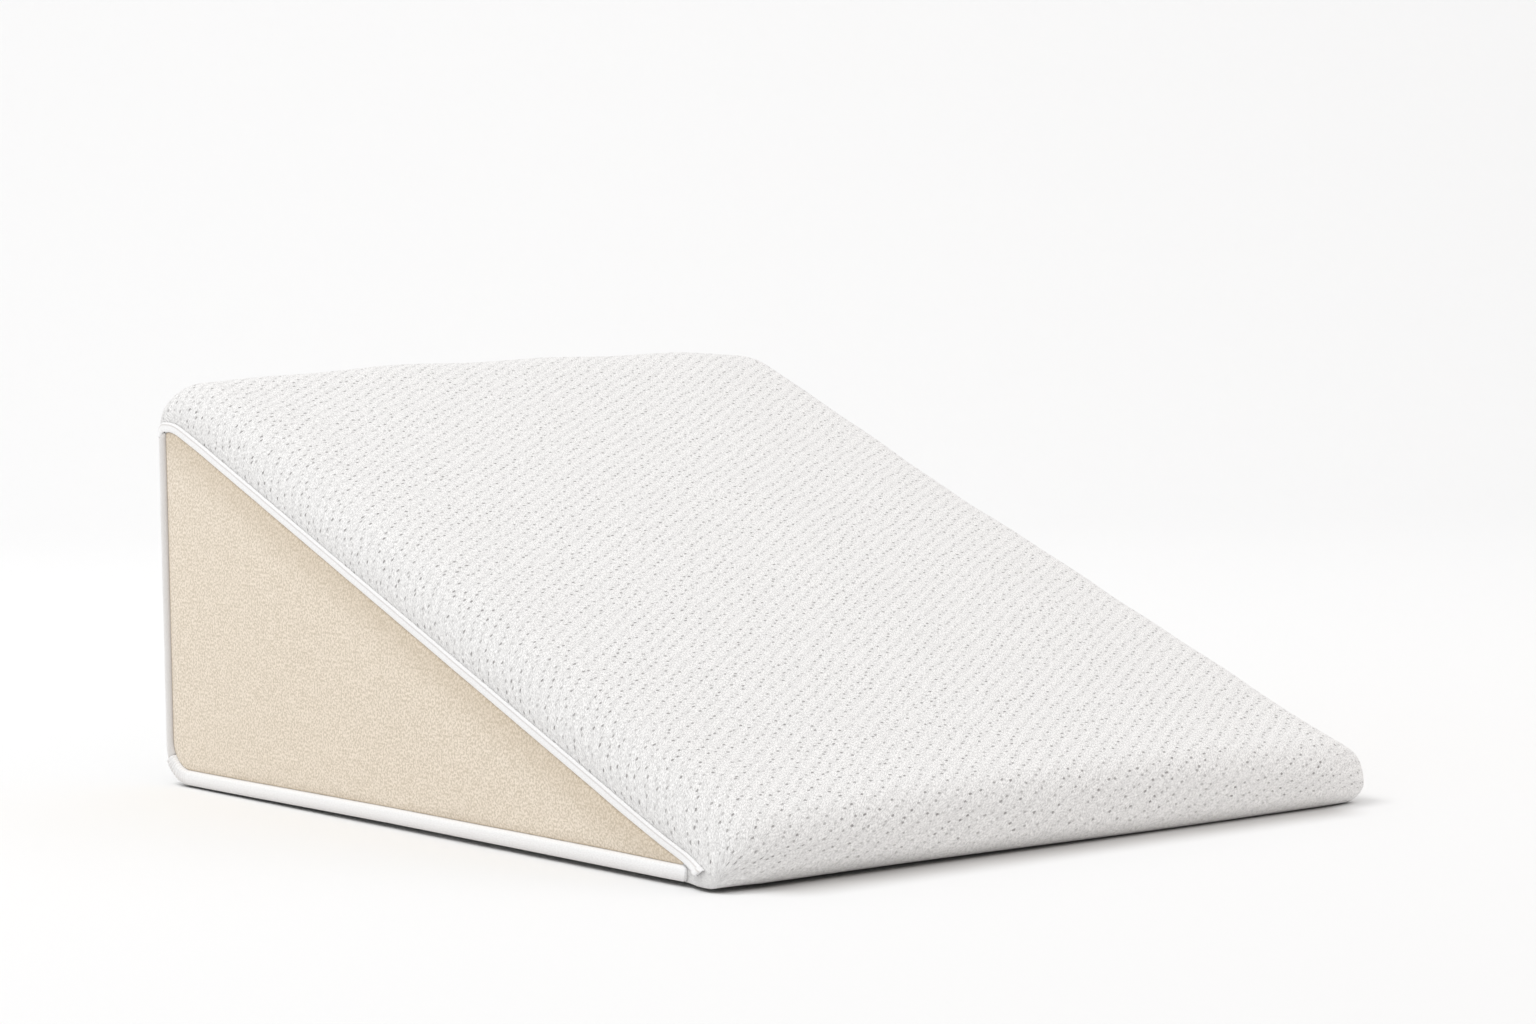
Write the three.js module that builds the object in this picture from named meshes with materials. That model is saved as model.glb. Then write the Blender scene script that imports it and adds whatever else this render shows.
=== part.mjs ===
// Wedge pillow: a filled knit cover with a beige panel and white bindings on each side.
// Millimetres, +Z up. X is the width, the low nose faces -Y and the tall back faces +Y.
// The origin is on the floor, under the middle of the pillow.
import * as THREE from "three";

// Overall size
const LENGTH = 740;
const HEIGHT = 331.5;
const CAP_HALF_WIDTH = 302;
const GAP = 0.3;

// Side seam, seen from the side: the outline in which the cover meets the bindings
const SLOPE_ANGLE = THREE.MathUtils.degToRad(21.9);
const SEAM_NOSE_INSET = 10;
const SEAM_NOSE_HEIGHT = 8;
const SEAM_BACK_INSET = 2.5;
const SEAM_TOP_HEIGHT = 290;

// Cover
const CROWN = 8;
const CROWN_STEPS = 4;
const SHOULDER_WIDTH = 48;
const SHOULDER_RISE = 36.8;
const SHOULDER_STEPS = 7;
const TUCK_ANGLE = THREE.MathUtils.degToRad(102);
const BULGE_IS_FULL_OVER = 14;

// Corner radii at the middle of the cover and at the side seam
const CORNERS = {
  baseBack: { middle: 32, seam: 30, steps: 8, stepsToNext: 4 },
  backTop: { middle: 30, seam: 11, steps: 6, stepsToNext: 1 },
  topSlope: { middle: 66, seam: 52, steps: 4, stepsToNext: 8 },
  slopeNose: { middle: 26, seam: 5, steps: 6, stepsToNext: 1 },
  noseBase: { middle: 14, seam: 4, steps: 4, stepsToNext: 8 },
};

// Bindings
const SLOPE_BINDING_WIDTH = 7;
const SLOPE_BINDING_THICKNESS = 2.4;
const EDGE_BINDING_WIDTH = 12;
const BASE_BINDING_THICKNESS = 4.6;
const BACK_BINDING_THICKNESS = 2.8;
const BINDING_RIM = 0.7;
const SLOPE_BINDING_NOSE_INSET = 12;
const FOLD_LENGTH = 6;
const FOLD_THICKNESS = 3.3;
const FOLD_SLANT = 5;
const BASE_BINDING_NOSE_INSET = 27;
const BASE_BINDING_TIP_THICKNESS = 2.6;
const JOINT_SHARE_OF_CORNER = 0.8;
const JOINT_GAP_SHARE = 0.012;

// Side panels
const PANEL_RIM = 1.6;
const PANEL_CROWN = 2.2;
const PANEL_APEX_RADIUS = 2.5;
const PANEL_TIP_RADIUS = 1.2;

const NOSE = -LENGTH / 2;
const BACK = LENGTH / 2;
const SEAM_NOSE = NOSE + SEAM_NOSE_INSET;
const SEAM_BACK = BACK - SEAM_BACK_INSET;
const SEAT = CAP_HALF_WIDTH + GAP;
const DOWN_SLOPE = new THREE.Vector2(-Math.cos(SLOPE_ANGLE), -Math.sin(SLOPE_ANGLE));
const UP_SLOPE = DOWN_SLOPE.clone().negate();

const mix = THREE.MathUtils.lerp;

// A straight edge of an outline. Outlines run anticlockwise, seen from +X, so inward is to the left.
function makeEdge(y, z, direction) {
  const inward = new THREE.Vector2(-direction.y, direction.x);
  return { point: new THREE.Vector2(y, z), direction, inward };
}

function inset(edge, distance) {
  return { ...edge, point: edge.point.clone().addScaledVector(edge.inward, distance) };
}

function cross(a, b) {
  return a.x * b.y - a.y * b.x;
}

// The arc that rounds the corner between two edges, or the stretch of it between two shares.
function roundCorner(first, second, radius, steps, fromShare = 0, toShare = 1) {
  const between = second.point.clone().sub(first.point);
  const run = cross(between, second.direction) / cross(first.direction, second.direction);
  const turn = Math.acos(first.direction.dot(second.direction));
  const tangent = run - radius * Math.tan(turn / 2);
  const center = first.point.clone().addScaledVector(first.direction, tangent);
  center.addScaledVector(first.inward, radius);
  const start = Math.atan2(-first.inward.y, -first.inward.x);
  const points = [];
  for (let i = 0; i <= steps; i++) {
    const angle = start + turn * mix(fromShare, toShare, i / steps);
    const spoke = new THREE.Vector2(Math.cos(angle), Math.sin(angle));
    points.push(center.clone().addScaledVector(spoke, radius));
  }
  return points;
}

// Points between two others, without the ends.
function divide(from, to, steps) {
  const points = [];
  for (let i = 1; i < steps; i++) points.push(from.clone().lerp(to, i / steps));
  return points;
}

// The edges of the pillow seen from the side.
function sideEdges(nose, back, top, slopeHeightAtNose) {
  return {
    base: makeEdge(0, 0, new THREE.Vector2(1, 0)),
    back: makeEdge(back, 0, new THREE.Vector2(0, 1)),
    top: makeEdge(0, top, new THREE.Vector2(-1, 0)),
    slope: makeEdge(nose, slopeHeightAtNose, DOWN_SLOPE),
    nose: makeEdge(nose, 0, new THREE.Vector2(0, -1)),
  };
}

const SEAM = sideEdges(SEAM_NOSE, SEAM_BACK, SEAM_TOP_HEIGHT, SEAM_NOSE_HEIGHT);

// The cover's outline at one station. The share runs from 0 at the middle to 1 at the seam.
function coverOutline(share, sag) {
  const nose = mix(NOSE, SEAM_NOSE, share);
  const rise = (SHOULDER_RISE / Math.cos(SLOPE_ANGLE) + CROWN - sag) * (1 - share);
  const slope = SEAM_NOSE_HEIGHT + (nose - SEAM_NOSE) * Math.tan(SLOPE_ANGLE) + rise;
  const top = mix(HEIGHT - sag, SEAM_TOP_HEIGHT, share);
  const edges = Object.values(sideEdges(nose, mix(BACK, SEAM_BACK, share), top, slope));
  const corners = Object.values(CORNERS);
  const arcs = corners.map(({ middle, seam, steps }, i) =>
    roundCorner(edges[i], edges[(i + 1) % edges.length], mix(middle, seam, share), steps),
  );
  return arcs.flatMap((arc, i) => {
    const next = arcs[(i + 1) % arcs.length];
    return [...arc, ...divide(arc.at(-1), next[0], corners[i].stepsToNext)];
  });
}

// A closed surface over rings of equal length, with a fan of triangles over each end.
function loft(rings) {
  const count = rings[0].length;
  const lastRow = (rings.length - 1) * count;
  const points = rings.flat();
  const addMiddle = (ring) => {
    const sum = ring.reduce((total, point) => total.add(point), new THREE.Vector3());
    return points.push(sum.divideScalar(count)) - 1;
  };
  const firstMiddle = addMiddle(rings[0]);
  const lastMiddle = addMiddle(rings.at(-1));
  const faces = [];
  for (let i = 0; i < count; i++) {
    const j = (i + 1) % count;
    faces.push(firstMiddle, j, i, lastMiddle, lastRow + i, lastRow + j);
    for (let row = 0; row < lastRow; row += count) {
      const next = row + count;
      faces.push(row + i, row + j, next + j, row + i, next + j, next + i);
    }
  }
  const geometry = new THREE.BufferGeometry().setFromPoints(points);
  geometry.setIndex(faces);
  geometry.computeVertexNormals();
  return geometry;
}

// Stations of the cover from its middle to one seam, where the knit bulges out and tucks in again.
function coverStations() {
  const shoulderStart = CAP_HALF_WIDTH - SHOULDER_WIDTH;
  const stations = [];
  for (let i = 0; i <= CROWN_STEPS; i++) {
    const out = i / CROWN_STEPS;
    stations.push({ x: shoulderStart * out, bulge: 0, share: 0, sag: CROWN * out * out });
  }
  for (let i = 1; i <= SHOULDER_STEPS; i++) {
    const step = i / SHOULDER_STEPS;
    const plainOut = Math.sin((step * Math.PI) / 2);
    const roundOut = Math.sin(step * TUCK_ANGLE) / Math.sin(TUCK_ANGLE);
    stations.push({
      x: shoulderStart + SHOULDER_WIDTH * plainOut,
      bulge: SHOULDER_WIDTH * (roundOut - plainOut),
      share: (1 - Math.cos(step * TUCK_ANGLE)) / (1 - Math.cos(TUCK_ANGLE)),
      sag: CROWN,
    });
  }
  return stations;
}

function coverBody() {
  const ring = ({ x, bulge, share, sag }, side) =>
    coverOutline(share, sag).map(({ x: y, y: z }) => {
      const out = x + bulge * THREE.MathUtils.smoothstep(z, 0, BULGE_IS_FULL_OVER);
      return new THREE.Vector3(side * out, y, z);
    });
  const stations = coverStations();
  const left = stations.slice(1).reverse();
  return loft([...left.map((s) => ring(s, -1)), ...stations.map((s) => ring(s, 1))]);
}

// A strip of cloth on the +X side between two edges, thickest along its middle.
function strip(outer, inner, thicknesses) {
  const shares = [0, 0.1, 0.3, 0.5, 0.7, 0.9, 1];
  const rings = outer.map((from, i) => {
    const place = (share, height) => {
      const point = from.clone().lerp(inner[i], share);
      return new THREE.Vector3(SEAT + height, point.x, point.y);
    };
    const top = shares.map((share) => {
      const swell = Math.sqrt(1 - (2 * share - 1) ** 4);
      return place(share, mix(BINDING_RIM, thicknesses[i], swell));
    });
    return [place(1, 0), place(0, 0), ...top];
  });
  return loft(rings.reverse());
}

// From the back edge over the top corner and down the slope to a slanting fold at the nose.
function slopeBinding() {
  const { backTop, topSlope } = CORNERS;
  const foldStations = [FOLD_LENGTH, FOLD_LENGTH - 0.5, 0];
  const line = (distance, slant) => {
    const [back, top, slope] = [SEAM.back, SEAM.top, SEAM.slope].map((e) => inset(e, distance));
    const turn = roundCorner(back, top, backTop.seam - distance, 5);
    const bend = roundCorner(top, slope, topSlope.seam - distance, 4);
    const end = SLOPE_BINDING_NOSE_INSET / Math.cos(SLOPE_ANGLE) + slant;
    const fold = foldStations.map((s) => slope.point.clone().addScaledVector(UP_SLOPE, end + s));
    return [...turn, ...bend, ...divide(bend.at(-1), fold[0], 8), ...fold];
  };
  const outer = line(GAP, 0);
  const thicknesses = outer.map(() => SLOPE_BINDING_THICKNESS).fill(FOLD_THICKNESS, -2);
  return strip(outer, line(GAP + SLOPE_BINDING_WIDTH, FOLD_SLANT), thicknesses);
}

// Along the floor from the nose, where the slope binding cuts it to a taper, and up the back corner.
function baseBinding() {
  const corner = (distance) => {
    const base = inset(SEAM.base, distance);
    const back = inset(SEAM.back, distance + GAP);
    return roundCorner(base, back, CORNERS.baseBack.seam - distance, 6, 0, JOINT_SHARE_OF_CORNER);
  };
  const outerCorner = corner(0);
  const clearOfSlope = inset(SEAM.slope, SLOPE_BINDING_WIDTH + 2 * GAP).point;
  const heightUnderSlope = (y) => clearOfSlope.y + (y - clearOfSlope.x) * Math.tan(SLOPE_ANGLE);
  const fullHeightAt = clearOfSlope.x + (EDGE_BINDING_WIDTH - clearOfSlope.y) / Math.tan(SLOPE_ANGLE);
  const tip = new THREE.Vector2(SEAM_NOSE + BASE_BINDING_NOSE_INSET, 0);
  const full = new THREE.Vector2(fullHeightAt, 0);
  const straight = [tip, ...divide(tip, full, 2), full, ...divide(full, outerCorner[0], 6)];
  const innerStraight = straight.map(({ x: y }) => {
    return new THREE.Vector2(y, Math.min(EDGE_BINDING_WIDTH, heightUnderSlope(y)));
  });
  const outer = [...straight, ...outerCorner];
  const thicknesses = outer.map(() => BASE_BINDING_THICKNESS);
  thicknesses[0] = BASE_BINDING_TIP_THICKNESS;
  thicknesses[1] = mix(BASE_BINDING_TIP_THICKNESS, BASE_BINDING_THICKNESS, 0.6);
  return strip(outer, [...innerStraight, ...corner(EDGE_BINDING_WIDTH)], thicknesses);
}

// From the joint with the base binding up to the end of the slope binding.
function backBinding() {
  const { baseBack, backTop } = CORNERS;
  const line = (distance) => {
    const base = inset(SEAM.base, distance);
    const back = inset(SEAM.back, distance + GAP);
    const from = JOINT_SHARE_OF_CORNER + JOINT_GAP_SHARE;
    const corner = roundCorner(base, back, baseBack.seam - distance, 2, from, 1);
    const top = new THREE.Vector2(corner.at(-1).x, SEAM_TOP_HEIGHT - backTop.seam - GAP);
    return [...corner, ...divide(corner.at(-1), top, 3), top];
  };
  const outer = line(0);
  return strip(outer, line(EDGE_BINDING_WIDTH), outer.map(() => BACK_BINDING_THICKNESS));
}

// A thin panel inside the bindings, swelling gently towards its middle.
function sidePanel() {
  const besideSlope = SLOPE_BINDING_WIDTH + 2 * GAP;
  const edges = [
    inset(SEAM.base, EDGE_BINDING_WIDTH + GAP),
    inset(SEAM.back, EDGE_BINDING_WIDTH + 2 * GAP),
    inset(SEAM.top, besideSlope),
    inset(SEAM.slope, besideSlope),
  ];
  const cornerRadius = CORNERS.baseBack.seam - EDGE_BINDING_WIDTH - GAP;
  const radii = [cornerRadius, PANEL_APEX_RADIUS, CORNERS.topSlope.seam - besideSlope, PANEL_TIP_RADIUS];
  const arcs = radii.map((radius, i) => roundCorner(edges[i], edges[(i + 1) % 4], radius, 6));
  const outline = arcs.flat();
  const middle = outline.reduce((sum, point) => sum.add(point), new THREE.Vector2());
  middle.divideScalar(outline.length);
  const ring = (scale, height) =>
    outline.map((point) => {
      const { x: y, y: z } = middle.clone().lerp(point, scale);
      return new THREE.Vector3(SEAT + height, y, z);
    });
  const crownScales = [0.99, 0.9, 0.75, 0.5, 0.2];
  const crown = crownScales.map((scale) => ring(scale, PANEL_RIM + PANEL_CROWN * (1 - scale ** 2)));
  return loft([ring(1, 0), ring(1, PANEL_RIM / 2), ...crown]);
}

function makeMaterial(color, roughness) {
  return new THREE.MeshStandardMaterial({ color, roughness, metalness: 0 });
}

function makeMesh(name, geometry, material) {
  const mesh = new THREE.Mesh(geometry, material);
  mesh.name = name;
  return mesh;
}

// The panel and bindings of one side. The left side is the right one mirrored.
function makeSide(sideName, direction) {
  const side = new THREE.Group();
  side.scale.x = direction;
  side.add(
    makeMesh(`side_panel_${sideName}`, sidePanel(), felt),
    makeMesh(`slope_binding_${sideName}`, slopeBinding(), ribbon),
    makeMesh(`base_binding_${sideName}`, baseBinding(), ribbon),
    makeMesh(`back_binding_${sideName}`, backBinding(), ribbon),
  );
  return side;
}

const knit = makeMaterial("#f1f0ee", 0.95);
const felt = makeMaterial("#e0cfb4", 0.9);
const ribbon = makeMaterial("#f6f6f5", 0.7);

const pillow = new THREE.Group();
pillow.name = "wedge_pillow";
pillow.add(makeMesh("cover_body", coverBody(), knit), makeSide("left", -1), makeSide("right", 1));

export default pillow;
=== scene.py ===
import math

import bpy
import numpy as np
from mathutils import Matrix, Vector


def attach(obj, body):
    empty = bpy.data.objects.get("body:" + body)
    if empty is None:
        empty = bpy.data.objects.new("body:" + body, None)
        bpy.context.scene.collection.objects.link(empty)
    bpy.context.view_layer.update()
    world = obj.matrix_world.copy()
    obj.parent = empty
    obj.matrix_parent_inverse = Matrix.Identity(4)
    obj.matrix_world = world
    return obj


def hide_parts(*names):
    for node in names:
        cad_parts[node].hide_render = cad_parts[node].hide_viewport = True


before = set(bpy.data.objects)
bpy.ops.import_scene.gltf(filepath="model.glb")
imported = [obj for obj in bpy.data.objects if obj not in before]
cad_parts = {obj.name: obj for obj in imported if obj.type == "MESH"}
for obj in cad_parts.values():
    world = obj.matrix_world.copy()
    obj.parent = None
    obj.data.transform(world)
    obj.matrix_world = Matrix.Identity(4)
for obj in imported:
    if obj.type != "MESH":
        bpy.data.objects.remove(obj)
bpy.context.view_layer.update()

MM = 0.001

# Sizes of the solids, in millimetres
LENGTH = 740
HEIGHT = 331.5
CAP_HALF_WIDTH = 302
GAP = 0.3
SLOPE_ANGLE = math.radians(21.9)
SEAM_NOSE_INSET = 10
SEAM_NOSE_HEIGHT = 8
SEAM_BACK_INSET = 2.5
SEAM_TOP_HEIGHT = 290
CROWN = 8
SHOULDER_WIDTH = 48
BACK_SHOULDER_WIDTH = 38
SHOULDER_RISE = 36.8
TUCK_ANGLE = math.radians(102)
BULGE_IS_FULL_OVER = 14
SLOPE_BINDING_WIDTH = 7.8
SLOPE_BINDING_THICKNESS = 2.4
EDGE_BINDING_WIDTH = 12
BASE_BINDING_THICKNESS = 4.6
BACK_BINDING_THICKNESS = 2.8
BINDING_RIM = 0.7
SLOPE_BINDING_NOSE_INSET = 12
OVER_BACK_PADDING = 0.8
FOLD_LENGTH = 6
FOLD_CUT_BACK = 0.5
FOLD_SLANT = 4.5
FOLD_COVERS_ROLL = 3.8
APEX_LAP = 3.4
BASE_BINDING_NOSE_INSET = 33
BASE_BINDING_TIP_THICKNESS = 2.6
TIP_ROUNDING = 6
TIP_TOP_SHARE, TIP_BOTTOM_SHARE = 0.62, 0.34
TUCK_SPACING = 3.6
TUCK_DEPTH = 0.4
JOINT_SHARE_OF_CORNER = 0.64
JOINT_GAP_SHARE = 0.012
PANEL_EDGE = 0.5
PANEL_RIM = 1.6
PANEL_CROWN = 2.2
PANEL_APEX_RADIUS = 2.5
PANEL_TIP_RADIUS = 1.2
PLAIN_UP_TO, PITTED_FROM = 6, 16
PANEL_WAVE, PANEL_WAVE_LENGTH = 0.5, 70
COVER_WAVE, COVER_WAVE_LENGTH = 0.9, 60

# Corner radii at the middle and at the seam, then mesh steps round each corner and on to the next one
CORNERS = [
    ("base_back", 34, 36, 14, 62),
    ("back_top", 30, 11, 14, 3),
    ("top_slope", 66, 52, 10, 160),
    ("slope_nose", 26, 5, 14, 3),
    ("nose_base", 14, 4, 8, 120),
]
SEAM_RADIUS = {name: seam for name, _, seam, _, _ in CORNERS}
CROWN_STEPS = 42
SHOULDER_STEPS = 24
CAP_SCALES = np.array([0.995, 0.985, 0.97, 0.95, 0.92, 0.87, 0.75, 0.5])

NOSE = -LENGTH / 2
BACK = LENGTH / 2
SEAM_NOSE = NOSE + SEAM_NOSE_INSET
SEAM_BACK = BACK - SEAM_BACK_INSET
SEAT = CAP_HALF_WIDTH + GAP
UP_SLOPE = np.array([math.cos(SLOPE_ANGLE), math.sin(SLOPE_ANGLE)])


def mix(a, b, share):
    return a + (b - a) * share


def smoothstep(x, low, high):
    t = np.clip((x - low) / (high - low), 0, 1)
    return t * t * (3 - 2 * t)


# Outlines in the side plane (y, z), anticlockwise seen from +X, as in the solids
def edge(y, z, direction):
    direction = np.array(direction, float)
    return np.array([y, z], float), direction, np.array([-direction[1], direction[0]])


def inset(line, distance):
    point, direction, inward = line
    return point + inward * distance, direction, inward


def cross(a, b):
    return a[0] * b[1] - a[1] * b[0]


def round_corner(first, second, radius, steps, from_share=0.0, to_share=1.0):
    run = cross(second[0] - first[0], second[1]) / cross(first[1], second[1])
    turn = math.acos(first[1] @ second[1])
    tangent = run - radius * math.tan(turn / 2)
    centre = first[0] + first[1] * tangent + first[2] * radius
    start = math.atan2(-first[2][1], -first[2][0])
    angles = start + turn * mix(from_share, to_share, np.linspace(0, 1, steps + 1))
    return centre + radius * np.stack([np.cos(angles), np.sin(angles)], 1)


def divide(start, end, steps):
    shares = np.arange(1, steps)[:, None] / steps
    return start + (end - start) * shares


def side_edges(nose, back, top, slope_height_at_nose):
    return [
        edge(0, 0, (1, 0)),
        edge(back, 0, (0, 1)),
        edge(0, top, (-1, 0)),
        edge(nose, slope_height_at_nose, -UP_SLOPE),
        edge(nose, 0, (0, -1)),
    ]


BASE, REAR, TOP, SLOPE = side_edges(SEAM_NOSE, SEAM_BACK, SEAM_TOP_HEIGHT, SEAM_NOSE_HEIGHT)[:4]


def cover_outline(share, sag):
    nose = mix(NOSE, SEAM_NOSE, share)
    rise = (SHOULDER_RISE / math.cos(SLOPE_ANGLE) + CROWN - sag) * (1 - share)
    slope = SEAM_NOSE_HEIGHT + (nose - SEAM_NOSE) * math.tan(SLOPE_ANGLE) + rise
    top = mix(HEIGHT - sag, SEAM_TOP_HEIGHT, share)
    edges = side_edges(nose, mix(BACK, SEAM_BACK, share), top, slope)
    arcs = [
        round_corner(edges[i], edges[(i + 1) % 5], mix(middle, seam, share), steps)
        for i, (_, middle, seam, steps, _) in enumerate(CORNERS)
    ]
    parts = []
    for i, (_, _, _, _, steps_to_next) in enumerate(CORNERS):
        parts += [arcs[i], divide(arcs[i][-1], arcs[(i + 1) % 5][0], steps_to_next)]
    return np.concatenate(parts)


def run_lengths(points, axis=0):
    """Distances along a row of points, from its first one."""
    steps = np.linalg.norm(np.diff(points, axis=axis), axis=-1)
    zero = np.zeros_like(np.take(steps, [0], axis=axis))
    return np.cumsum(np.concatenate([zero, steps], axis=axis), axis=axis)


NOISE_WAVES = 7
NOISE_PEAK = 3.2


def soft_noise(u, v, length, seed):
    """Smooth unevenness from about -1 to 1, with humps about one length apart."""
    rng = np.random.default_rng(seed)
    total = np.zeros(np.broadcast(u, v).shape)
    for _ in range(NOISE_WAVES):
        angle, phase = rng.uniform(0, 2 * math.pi, 2)
        scale = 2 * math.pi / (length * rng.uniform(1.4, 2.8))
        total += np.sin(scale * (u * math.cos(angle) + v * math.sin(angle)) + phase)
    return total / NOISE_PEAK


# How the filled pillow rests, in millimetres. Its ends swell, and its corners round off towards the sides.
END_SWELL, SWELL_REACH = 4, 70
BACK_ROUNDING, BACK_ROUNDING_REACH = 3.5, 13
NOSE_ROUNDING, NOSE_ROUNDING_REACH = 8, 21
ROUNDING_FROM = 230
# Its lower edges lift a little off the floor, less at the nose's right corner
BACK_LIFT, SIDE_LIFT, NOSE_LIFT = 1.2, 3.0, 1.6
LIFT_FROM, LIFT_TO = 14, 85
LIFT_FADES_BY = 45
LIFT_SHARE_AT_NOSE_CORNER = 0.75
LIFT_LOST_AT_RIGHT_CORNER = 0.92
# The lift is counted from the side's outermost line, a little beyond the cover
SIDE_PANEL_OUT = 5
# The seam dips at the nose, whose corners are filled out and tucked under
AT_SIDE_FROM, AT_SIDE = 262, 303
SEAM_DIP = 0.8
CORNER_FILL = 6
LEFT_TUCK, LEFT_TUCK_HEIGHT = 2, 6
RIGHT_TUCK, RIGHT_TUCK_HEIGHT = 25, 27
NOSE_TUCK, NOSE_TUCK_HEIGHT, NOSE_TUCK_REACH = 7, 16, 44
RIGHT_CORNER_DRAW, RIGHT_CORNER_BULGE = 2, 6.5
BULGE_HEIGHT, BULGE_SPREAD = 40, 17
# The top is higher and narrower at the right, and sags at the left
BACK_RISE, BACK_DRAW, BACK_SAG = 7.5, 10, 2.6


def tucked(height, depth_of_tuck):
    """The share by which a rounded lower edge is drawn in, 1 at the floor and 0 above the tuck."""
    below = 1 - np.clip(height / depth_of_tuck, 0, 1)
    return 1 - np.sqrt(1 - below ** 2)


def edge_lift(x, z, from_back, from_nose):
    """How far the lower edges lift off the floor."""
    from_side = np.minimum(SEAT + SIDE_PANEL_OUT - np.abs(x), from_back)
    side_lift = mix(BACK_LIFT, SIDE_LIFT, smoothstep(from_back, 10, 380))
    side_lift = side_lift * (1 - smoothstep(from_side, LIFT_FROM, LIFT_TO))
    side_lift = side_lift * mix(LIFT_SHARE_AT_NOSE_CORNER, 1, smoothstep(from_nose, 4, 46))
    nose_lift = NOSE_LIFT * (1 - smoothstep(from_nose, LIFT_FROM, LIFT_TO))
    at_right_corner = smoothstep(x, -180, 120) * smoothstep(from_nose, 180, 40)
    lift = np.maximum(side_lift, nose_lift) * (1 - LIFT_LOST_AT_RIGHT_CORNER * at_right_corner)
    return lift * (1 - smoothstep(z, 0, LIFT_FADES_BY))


def corner_fill(x, z, from_nose, at_side):
    """How far the nose's corners go out to the sides. The right one is blunt and rounded under."""
    fill = CORNER_FILL * smoothstep(from_nose, 52, 22) * smoothstep(z, 28, 2) * at_side
    tuck = tucked(z, np.where(x > 0, RIGHT_TUCK_HEIGHT, LEFT_TUCK_HEIGHT))
    tuck = np.where(x > 0, RIGHT_TUCK, LEFT_TUCK) * tuck
    tuck = tuck * smoothstep(from_nose, 52, 14) * smoothstep(np.abs(x), 236, 304)
    right = (x > 0) * at_side
    bulge = np.exp(-(((z - BULGE_HEIGHT) / BULGE_SPREAD) ** 2)) * smoothstep(from_nose, 75, 12)
    fill += right * RIGHT_CORNER_BULGE * bulge
    fill -= right * RIGHT_CORNER_DRAW * smoothstep(from_nose, 90, 20)
    return fill - tuck


def top_shift(x, y, z):
    """How far the top rises, and how far it is drawn in from the right."""
    high = smoothstep(z, 150, 325) * smoothstep(y, -60, 320)
    rise = BACK_RISE * smoothstep(x, 0, 240) * high * smoothstep(y, 60, 335)
    left_of_top = smoothstep(-x, 60, 250) * (1 - smoothstep(-x, 262, 290))
    rise -= BACK_SAG * left_of_top * smoothstep(z, 296, 318)
    return rise, BACK_DRAW * smoothstep(x, 120, 290) * high


def settle(points):
    """Moves points of the cut shape to where they lie on the filled pillow."""
    x, y, z = points.T
    from_back = np.maximum(BACK - y, 0)
    from_nose = np.maximum(y - NOSE, 0)
    at_side = smoothstep(np.abs(x), AT_SIDE_FROM, AT_SIDE)
    inward = BACK_ROUNDING * np.maximum(1 - from_back / BACK_ROUNDING_REACH, 0) ** 2
    inward += NOSE_ROUNDING * np.maximum(1 - from_nose / NOSE_ROUNDING_REACH, 0) ** 2
    inward *= smoothstep(np.abs(x), ROUNDING_FROM, SEAT)
    swell = END_SWELL * (smoothstep(from_back, SWELL_REACH, 2) - smoothstep(from_nose, SWELL_REACH, 2))
    # The nose is tucked under, most at the left
    nose_tuck = NOSE_TUCK * tucked(z, NOSE_TUCK_HEIGHT) * smoothstep(from_nose, NOSE_TUCK_REACH, 0)
    nose_tuck = nose_tuck * smoothstep(-x, -200, 240)
    # The seam dips towards the nose
    dip = SEAM_DIP * at_side * smoothstep(from_nose, 160, 25) * smoothstep(z, 3, 16)
    lift = edge_lift(x, z, from_back, from_nose)
    rise, draw = top_shift(x, y, z)
    outward = corner_fill(x, z, from_nose, at_side) - inward
    across = x + np.sign(x) * outward - draw
    return np.stack([across, y + swell + nose_tuck, z + lift - dip + rise], 1)


# Meshes of the pieces
def make_piece(name, shape, material, flip=False):
    """A piece of the object, from its points, faces, cloth coordinates of each face's corners, and shade.

    The shade is from 0 to 1 for each point and says how much painted shade darkens the cloth there, or on
    the cover how plain the knit turns.
    """
    points, faces, cloth, shade = shape
    if flip:
        points = points * [-1, 1, 1]
        faces = [face[::-1] for face in faces]
        cloth = [corners[::-1] for corners in cloth]
    points = settle(points)
    mesh = bpy.data.meshes.new(name)
    mesh.from_pydata((points * MM).tolist(), [], faces)
    layer = mesh.uv_layers.new(name="cloth")
    flat = np.array([corner for corners in cloth for corner in corners], np.float32)
    layer.data.foreach_set("uv", (flat * MM).ravel())
    attribute = mesh.attributes.new("shade", "FLOAT", "POINT")
    attribute.data.foreach_set("value", np.asarray(shade, np.float32))
    mesh.shade_smooth()
    mesh.materials.append(material)
    piece = bpy.data.objects.new(name, mesh)
    bpy.context.scene.collection.objects.link(piece)
    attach(piece, "root")
    return piece


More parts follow.
